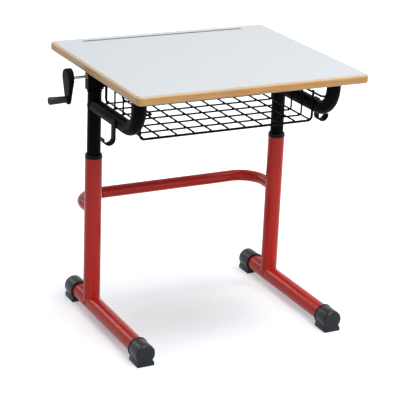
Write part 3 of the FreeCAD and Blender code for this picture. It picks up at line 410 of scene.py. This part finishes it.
class DESK_OT_plastic(bpy.types.Operator):
    """Give the caps, collars, glides and the grip a moulded black plastic"""

    bl_idname = "desk.plastic"
    bl_label = "Black plastic"

    def execute(self, context):
        black = tuple(colours().plastic)
        moulded = self.plastic_finish(PLASTIC, black, gloss=0.26, roughness=0.24)
        paint(moulded, "crank_grip", *CAPS)
        smooth = self.plastic_finish(SMOOTH_PLASTIC, tint(black, 0.35), gloss=0.08, roughness=0.14)
        paint(smooth, *COLLARS, *both_sides("lower_glide"))
        return {"FINISHED"}

    def plastic_finish(self, name, black, gloss, roughness):
        moulded = Finish(name, specular_ior_level=gloss)
        grain = moulded.noise(MOULD_GRAIN, detail=3.0)
        smudge = moulded.noise(MOULD_SMUDGE, detail=3.0)
        flow = moulded.noise(MOULD_FLOW)
        moulded.set(
            base_color=moulded.blend(flow, tint(black, 0.85), tint(black, 1.25)),
            roughness=roughness + 0.16 * smudge,
            normal=moulded.bump(grain, MOULD_HEIGHT),
        )
        return moulded


class DESK_OT_metal(bpy.types.Operator):
    """Give the drive its bare steel and bronze"""

    bl_idname = "desk.metal"
    bl_label = "Bare metal"

    def execute(self, context):
        steel = Finish("bare_steel_turned", metallic=1.0)
        along = steel.noise(1.0, detail=3.0, vector=steel.scaled(TURNED_LINES))
        steel.set(
            base_color=steel.blend(along, *STEEL),
            roughness=0.28 + 0.16 * along,
            normal=steel.bump(along, TURNED_HEIGHT),
        )
        paint(steel, "drive_shaft", "crank_set_screw", "post_discs", *WOOD_SCREWS)
        paint(steel, *both_sides("spindle", "spindle_stop", "nut_post", "drive_gear", "spindle_gear"))
        bronze = Finish("bronze_sintered", metallic=1.0)
        pores = bronze.noise(PORES, detail=3.0)
        bronze.set(
            base_color=bronze.blend(pores, *BRONZE),
            roughness=0.34 + 0.2 * pores,
            normal=bronze.bump(pores, PORE_HEIGHT),
        )
        paint(bronze, "shaft_bushes", "spindle_bushes", *both_sides("spindle_nut"))
        return {"FINISHED"}


class DESK_OT_top(bpy.types.Operator):
    """Give the top its laminate, wood edge and groove"""

    bl_idname = "desk.top"
    bl_label = "Top"

    def execute(self, context):
        pale = tuple(colours().laminate)
        sheet = Finish("laminate_pale", specular_ior_level=0.12)
        speckle = sheet.noise(SPECKLE, detail=3.0)
        cloud = sheet.noise(SHEET_CLOUD)
        tone = 0.5 * speckle + 0.5 * cloud
        sheet.set(
            base_color=sheet.blend(tone, tint(pale, 0.97), tint(pale, 1.03)),
            roughness=0.46 + 0.1 * speckle,
            normal=sheet.bump(speckle, SPECKLE_HEIGHT),
        )
        paint(sheet, "top_laminate", "bottom_laminate")
        paint(self.groove_painted_shade_finish(pale), "top_core")
        paint(self.beech_finish("beech_along_front", ALONG_FRONT), "front_lipping", "rear_lipping")
        paint(self.beech_finish("beech_along_side", ALONG_SIDE), "left_lipping", "right_lipping")
        return {"FINISHED"}

    def groove_painted_shade_finish(self, pale):
        upper_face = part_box("top_core")[1][Z]
        core = Finish("core_and_groove")
        chips = core.noise(1.0, detail=4.0, vector=core.scaled(CHIPS))
        board = core.blend(chips, *CHIPBOARD)
        # Painted shade: the groove's walls take the sheet's colour, darkened
        painted_shade_zone = core.axis("Z") > upper_face - GROOVE_ZONE
        core.set(
            base_color=core.blend(painted_shade_zone, board, tint(pale, GROOVE_PAINTED_SHADE)),
            roughness=0.5 + 0.1 * chips,
        )
        return core

    def beech_finish(self, name, squeeze):
        base = tuple(colours().beech)
        wood = Finish(name, coat_weight=0.3, coat_roughness=0.2, specular_ior_level=0.3)
        grain = wood.noise(WOOD_GRAIN, detail=4.0, vector=wood.scaled(squeeze))
        flecks = wood.noise(WOOD_FLECKS, vector=wood.scaled(squeeze))
        board = wood.band(wood.noise(BOARDS), *BOARD_BAND)
        tone = wood.blend(board, shifted(base, BEECH_YELLOW), shifted(base, BEECH_ORANGE))
        shade = wood.blend(wood.band(grain, *GRAIN_BAND), tone, tint(base, GRAIN_SHADE))
        fleck_mask = wood.band(flecks, *FLECK_BAND)
        grained = wood.blend(FLECK_SHARE * fleck_mask, shade, tint(base, FLECK_SHADE))
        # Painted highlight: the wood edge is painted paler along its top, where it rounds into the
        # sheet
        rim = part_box("front_lipping")[1][Z] - PAINTED_HIGHLIGHT_RIM
        painted_highlight = wood.band((wood.axis("Z") - rim) * (1 / PAINTED_HIGHLIGHT_RIM), *PAINTED_HIGHLIGHT_BAND)
        wood.set(
            base_color=wood.blend(painted_highlight, grained, shifted(base, BEECH_PAINTED_HIGHLIGHT)),
            roughness=0.36 + 0.16 * grain,
            normal=wood.bump(grain - FLECK_DEPTH * fleck_mask, GRAIN_HEIGHT),
        )
        return wood


# Places read from the frame
def middle(name):
    low, high = (Vector(corner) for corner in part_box(name))
    return (low + high) / 2


def half_size(name, axis):
    low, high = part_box(name)
    return (high[axis] - low[axis]) / 2


UPWARDS = Matrix.Identity(4)
BACKWARDS = Matrix.Rotation(math.radians(-90), 4, "X")
FORWARDS = Matrix.Rotation(math.radians(90), 4, "X")


# Modelling by hand
def only(piece):
    bpy.ops.object.select_all(action="DESELECT")
    piece.select_set(True)
    bpy.context.view_layer.objects.active = piece


def finish_piece(piece, name, body, material=None):
    piece.name = name
    piece.data.name = name
    if material:
        piece.data.materials.clear()
        piece.data.materials.append(bpy.data.materials[material])
    only(piece)
    bpy.ops.object.shade_smooth_by_angle(angle=SMOOTH_ANGLE)
    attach(piece, body)


def copy_of_node(node):
    """The node's shape as one closed mesh with whole faces."""
    piece = bpy.data.objects.new(node, NODES[node].data.copy())
    bpy.context.scene.collection.objects.link(piece)
    only(piece)
    bpy.ops.object.mode_set(mode="EDIT")
    bpy.ops.mesh.select_all(action="SELECT")
    bpy.ops.mesh.remove_doubles(threshold=MERGE_DISTANCE)
    bpy.ops.mesh.dissolve_limited(angle_limit=FLAT_ANGLE)
    bpy.ops.object.mode_set(mode="OBJECT")
    return piece


def round_edges(piece, width):
    only(piece)
    bpy.ops.object.modifier_add(type="BEVEL")
    bevel = piece.modifiers[-1]
    bevel.width = width
    bevel.segments = BEVEL_STEPS
    bevel.limit_method = "ANGLE"
    bevel.angle_limit = SHARP_ANGLE
    bpy.ops.object.modifier_apply(modifier=bevel.name)


def softened(node, width, body):
    piece = copy_of_node(node)
    round_edges(piece, width)
    finish_piece(piece, f"{node}_rounded", body)
    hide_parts(node)


def ring(radius, bead, place, turn=UPWARDS, seat=None, ripple=0.0):
    """Bead round a tube whose axis is Z before the turn.

    The bead lies flat, or on a tube along Y with the radius that seat gives and its axis at the place.
    A ripple swells and thins the bead along its way, as the steps of a hand weld do.
    """
    bpy.ops.object.select_all(action="DESELECT")
    steps = max(MIN_RING_STEPS, round(math.tau * radius / RING_STEP))
    bpy.ops.mesh.primitive_torus_add(
        major_radius=radius, minor_radius=bead, major_segments=steps, minor_segments=BEAD_STEPS
    )
    made = bpy.context.object
    waves = round(math.tau * radius / RIPPLE_LENGTH)
    for vertex in made.data.vertices:
        x, y, z = vertex.co
        angle = math.atan2(y, x)
        swell = 1 + ripple * math.sin(waves * angle)
        across = radius + (math.hypot(x, y) - radius) * swell
        rise = math.sqrt(max(seat**2 - x**2, 0.0)) if seat else 0.0
        vertex.co = (across * math.cos(angle), across * math.sin(angle), z * swell + rise)
    made.matrix_world = Matrix.Translation(place) @ turn
    bpy.ops.object.transform_apply(location=True, rotation=True, scale=True)
    return made


def drop(radius, place, squeeze):
    """Small round blob of weld metal."""
    bpy.ops.object.select_all(action="DESELECT")
    bpy.ops.mesh.primitive_ico_sphere_add(subdivisions=DROP_STEPS, radius=radius, location=place)
    made = bpy.context.object
    bpy.ops.object.mode_set(mode="EDIT")
    bpy.ops.transform.resize(value=squeeze, center_override=place)
    bpy.ops.object.mode_set(mode="OBJECT")
    bpy.ops.object.transform_apply(location=True, rotation=True, scale=True)
    return made


def joined(pieces):
    bpy.ops.object.select_all(action="DESELECT")
    for piece in pieces:
        piece.select_set(True)
    bpy.context.view_layer.objects.active = pieces[0]
    bpy.ops.object.join()
    return bpy.context.object


class DESK_OT_moulded_pieces(bpy.types.Operator):
    """Round the edges of the moulded caps, collars, crank arm and grip"""

    bl_idname = "desk.moulded_pieces"
    bl_label = "Moulded pieces"

    def execute(self, context):
        edge = sizes().moulded_edge
        for node in (*CAPS, *COLLARS):
            softened(node, edge, "base")
        softened("crank_arm", edge, "crank")
        softened("crank_grip", edge, "grip")
        return {"FINISHED"}


class DESK_OT_pressed_pieces(bpy.types.Operator):
    """Round the edges of the hooks, housings, covers, plates and lugs"""

    bl_idname = "desk.pressed_pieces"
    bl_label = "Pressed pieces"

    def execute(self, context):
        for node in ("gear_covers", "basket_lugs", *PRESSED):
            softened(node, sizes().pressed_edge, "lift")
        return {"FINISHED"}


class DESK_OT_lips(bpy.types.Operator):
    """Add the lips round the mouths of the foot caps and the feet of the collars"""

    bl_idname = "desk.lips"
    bl_label = "Lips"

    def execute(self, context):
        lip = sizes().cap_lip
        for node in CAPS:
            low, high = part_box(node)
            axis = middle(f"{node.split('_')[0]}_foot_tube")
            mouth = high[Y] - lip if "front" in node else low[Y] + lip
            place = (axis.x, mouth, axis.z)
            rim = ring(high[Z] - axis.z, lip, place, BACKWARDS)
            finish_piece(rim, f"{node}_lip", "base", PLASTIC)
        lip = sizes().collar_lip
        for node in COLLARS:
            column = node.replace("guide_collar", "outer_column")
            axis, top = middle(column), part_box(column)[1][Z]
            rim = ring(half_size(column, X), lip, (axis.x, axis.y, top + 2 * lip))
            finish_piece(rim, f"{node}_lip", "base", SMOOTH_PLASTIC)
        return {"FINISHED"}


class DESK_OT_frame_welds(bpy.types.Operator):
    """Weld the columns to the feet and the stretcher to the columns"""

    bl_idname = "desk.frame_welds"
    bl_label = "Frame welds"

    def execute(self, context):
        bead = sizes().frame_bead
        for side in SIDES:
            column, foot = f"{side}_outer_column", f"{side}_foot_tube"
            axis, tube = middle(column), half_size(column, X)
            place = (axis.x, axis.y, middle(foot).z)
            weld = ring(tube, bead, place, UPWARDS, half_size(foot, X), RIPPLE)
            finish_piece(weld, f"{side}_column_weld", "base", RED)
            place = (axis.x, axis.y, middle("rear_stretcher").z)
            weld = ring(half_size("rear_stretcher", Z), bead, place, BACKWARDS, tube, RIPPLE)
            finish_piece(weld, f"{side}_stretcher_weld", "base", RED)
        return {"FINISHED"}


class DESK_OT_lift_welds(bpy.types.Operator):
    """Weld the arms, their plates, the bearing discs and the hooks"""

    bl_idname = "desk.lift_welds"
    bl_label = "Lift welds"

    def execute(self, context):
        bead = sizes().frame_bead
        for side in SIDES:
            column, arm = f"{side}_inner_column", f"{side}_arm"
            axis, tube = middle(column), half_size(column, X)
            arm_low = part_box(arm)[0]
            arm_tube = half_size(arm, X)
            level = arm_low[Z] + arm_tube
            weld = ring(arm_tube, bead, (axis.x, axis.y, level), FORWARDS, tube, RIPPLE)
            finish_piece(weld, f"{side}_arm_weld", "lift", BLACK)
            upright = arm_low[Y] + arm_tube
            below_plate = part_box(f"{side}_arm_plate")[0][Z]
            weld = ring(arm_tube, bead, (axis.x, upright, below_plate), ripple=RIPPLE)
            finish_piece(weld, f"{side}_plate_weld", "lift", BLACK)
            below_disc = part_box(f"{side}_bearing_plate")[0][Z]
            weld = ring(tube, DISC_BEAD, (axis.x, axis.y, below_disc), ripple=RIPPLE)
            finish_piece(weld, f"{side}_disc_weld", "lift", BLACK)
            self.weld_hook(side, axis.x, level, arm_tube)
        return {"FINISHED"}

    def weld_hook(self, side, arm_x, level, arm_tube):
        low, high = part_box(f"{side}_bag_hook")
        outwards = -1 if side == "left" else 1
        x = arm_x + outwards * arm_tube
        drops = [drop(HOOK_DROP, (x, y, level), HOOK_DROP_SHAPE) for y in (low[Y], high[Y])]
        finish_piece(joined(drops), f"{side}_hook_weld", "lift", BLACK)


class DESK_OT_basket_welds(bpy.types.Operator):
    """Add the spot welds where the basket's wires meet"""

    bl_idname = "desk.basket_welds"
    bl_label = "Basket welds"

    def execute(self, context):
        spot = sizes().wire_bead
        across, along = self.cross_rows(), self.long_columns()
        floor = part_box("basket_cross_wires")[0][Z] + WIRE
        places = [(x, y, floor) for x in along for y in across]
        rod_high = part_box("basket_front_rod")[1]
        places += [(x, rod_high[Y], floor + WIRE / 2) for x in along]
        rail_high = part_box("basket_rail")[1]
        level = middle("basket_rail").z
        side_low, side_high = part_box("basket_cross_wires")
        places += [(x, y, level) for y in across for x in (side_low[X] + WIRE, side_high[X] - WIRE)]
        places += [(x, rail_high[Y] - RAIL, level) for x in along[1:-1]]
        welds = joined([drop(spot, place, SPOT_SHAPE) for place in places])
        finish_piece(welds, "basket_spot_welds", "lift", BLACK)
        return {"FINISHED"}

    def cross_rows(self):
        low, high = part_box("basket_cross_wires")
        first, last = low[Y] + WIRE / 2, high[Y] - WIRE / 2
        return [first + (last - first) * row / (CROSS_WIRES - 1) for row in range(CROSS_WIRES)]

    def long_columns(self):
        low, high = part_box("basket_long_wires")
        first, last = low[X] + WIRE / 2, high[X] - WIRE / 2
        centre = (first + last) / 2
        inner = [centre + (column - (LONG_WIRES - 1) / 2) * LONG_PITCH for column in range(LONG_WIRES)]
        return [first, *inner, last]


class DESK_OT_screw_heads(bpy.types.Operator):
    """Round the heads of the wood screws and cut their cross recess"""

    bl_idname = "desk.screw_heads"
    bl_label = "Screw heads"

    def execute(self, context):
        for node in WOOD_SCREWS:
            screws = copy_of_node(node)
            round_edges(screws, sizes().pressed_edge)
            self.cut_recesses(screws, self.head_places(screws))
            finish_piece(screws, f"{node}_recessed", "lift")
            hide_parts(node)
        return {"FINISHED"}

    def head_places(self, screws):
        lowest = min(vertex.co.z for vertex in screws.data.vertices)
        places = []
        for vertex in screws.data.vertices:
            if vertex.co.z < lowest + HEAD_ROOM:
                for known in places:
                    if (known[0] - vertex.co).length < HEAD_REACH:
                        known.append(vertex.co.copy())
                        break
                else:
                    places.append([vertex.co.copy()])
        return [sum(points, Vector()) / len(points) for points in places]

    def cut_recesses(self, screws, places):
        width = sizes().recess_width
        bars = []
        for place in places:
            for shape in ((RECESS_LENGTH, width), (width, RECESS_LENGTH)):
                bpy.ops.object.select_all(action="DESELECT")
                bpy.ops.mesh.primitive_cube_add(size=1, location=place, scale=(*shape, RECESS_LENGTH))
                bars.append(bpy.context.object)
        cutter = joined(bars)
        only(screws)
        bpy.ops.object.modifier_add(type="BOOLEAN")
        recess = screws.modifiers[-1]
        recess.operation = "DIFFERENCE"
        recess.object = cutter
        recess.solver = "EXACT"
        recess.use_self = True
        bpy.ops.object.modifier_apply(modifier=recess.name)
        bpy.data.objects.remove(cutter)


# Studio
class DESK_OT_stage(bpy.types.Operator):
    """Set the floor, the studio light and the camera"""

    bl_idname = "desk.stage"
    bl_label = "Stage"

    def execute(self, context):
        self.make_floor()
        self.make_world()
        for name, place, size, power in SOFTBOXES:
            self.make_softbox(name, place, size, power)
        self.make_camera()
        context.scene.view_settings.view_transform = "Standard"
        return {"FINISHED"}

    def make_floor(self):
        bpy.ops.object.select_all(action="DESELECT")
        bpy.ops.mesh.primitive_plane_add(size=FLOOR_SIZE, location=(0, 0, 0))
        floor = bpy.context.object
        floor.name = "studio_floor"
        pale = tuple(colours().floor)
        finish = Finish("studio_floor", base_color=pale, roughness=1.0, specular_ior_level=0.0)
        # Painted shadow: the floor's glow is lowest in a patch under the desk and rises outwards to
        # keep the far floor white
        across = (finish.axis("X") - SHADOW_PATCH_MIDDLE[X]) * (1 / SHADOW_PATCH_HALF[X])
        deep = (finish.axis("Y") - SHADOW_PATCH_MIDDLE[Y]) * (1 / SHADOW_PATCH_HALF[Y])
        reach = finish.math("SQRT", across * across + deep * deep) * (1 / FLOOR_REACH)
        painted_glow = finish.scaled(FLOOR_PAINTED_GLOW_TINT, finish.band(reach, *FLOOR_PAINTED_GLOW))
        finish.set(
            emission_color=finish.blend(finish.seen_ray(), (0, 0, 0, 1), painted_glow),
            emission_strength=1.0,
        )
        floor.data.materials.append(finish.material)

    def make_world(self):
        world = bpy.data.worlds.new("studio_world")
        Surroundings(world, WORLD_LIGHT)
        bpy.context.scene.world = world

    def make_softbox(self, name, place, size, power):
        bpy.ops.object.light_add(type="AREA", location=place)
        lamp = bpy.context.object
        lamp.name = name
        lamp.data.shape = "RECTANGLE"
        lamp.data.size, lamp.data.size_y = size
        lamp.data.energy = power
        aim = Vector(CAMERA_TARGET) - Vector(place)
        lamp.rotation_euler = aim.to_track_quat("-Z", "Y").to_euler()

    def make_camera(self):
        azimuth, elevation = math.radians(CAMERA_AZIMUTH), math.radians(CAMERA_ELEVATION)
        level = math.cos(elevation)
        back = Vector((math.sin(azimuth) * level, -math.cos(azimuth) * level, math.sin(elevation)))
        right = (-back).cross(Vector((0, 0, 1))).normalized()
        up = back.cross(right)
        turn = Matrix((right, up, back)).transposed().to_4x4()
        roll = Matrix.Rotation(math.radians(-CAMERA_ROLL), 4, "Z")
        place = Vector(CAMERA_TARGET) + CAMERA_DISTANCE * back
        bpy.ops.object.camera_add()
        camera = bpy.context.object
        camera.matrix_world = Matrix.Translation(place) @ turn @ roll
        camera.data.lens = CAMERA_LENS
        camera.data.sensor_width = CAMERA_SENSOR
        camera.data.clip_end = CAMERA_REACH
        bpy.context.scene.camera = camera


class DESK_PT_panel(bpy.types.Panel):
    """Lists the steps that dress the desk"""

    bl_idname = "DESK_PT_panel"
    bl_label = "Height-adjustable desk"
    bl_space_type = "VIEW_3D"
    bl_region_type = "UI"
    bl_category = "Desk"

    def draw(self, context):
        for step in STEPS:
            self.layout.operator(step.bl_idname)


STEPS = (
    DESK_OT_red_coat,
    DESK_OT_black_coat,
    DESK_OT_plastic,
    DESK_OT_metal,
    DESK_OT_top,
    DESK_OT_moulded_pieces,
    DESK_OT_pressed_pieces,
    DESK_OT_lips,
    DESK_OT_frame_welds,
    DESK_OT_lift_welds,
    DESK_OT_basket_welds,
    DESK_OT_screw_heads,
    DESK_OT_stage,
)
CLASSES = (DeskColours, DeskSizes, *STEPS, DESK_PT_panel)


def register():
    for each in CLASSES:
        bpy.utils.register_class(each)
    bpy.types.Scene.desk_colours = bpy.props.PointerProperty(type=DeskColours)
    bpy.types.Scene.desk_sizes = bpy.props.PointerProperty(type=DeskSizes)


def unregister():
    del bpy.types.Scene.desk_sizes
    del bpy.types.Scene.desk_colours
    for each in reversed(CLASSES):
        bpy.utils.unregister_class(each)


def main():
    register()
    for step in STEPS:
        family, name = step.bl_idname.split(".")
        getattr(getattr(bpy.ops, family), name)()


if __name__ == "__main__":
    main()
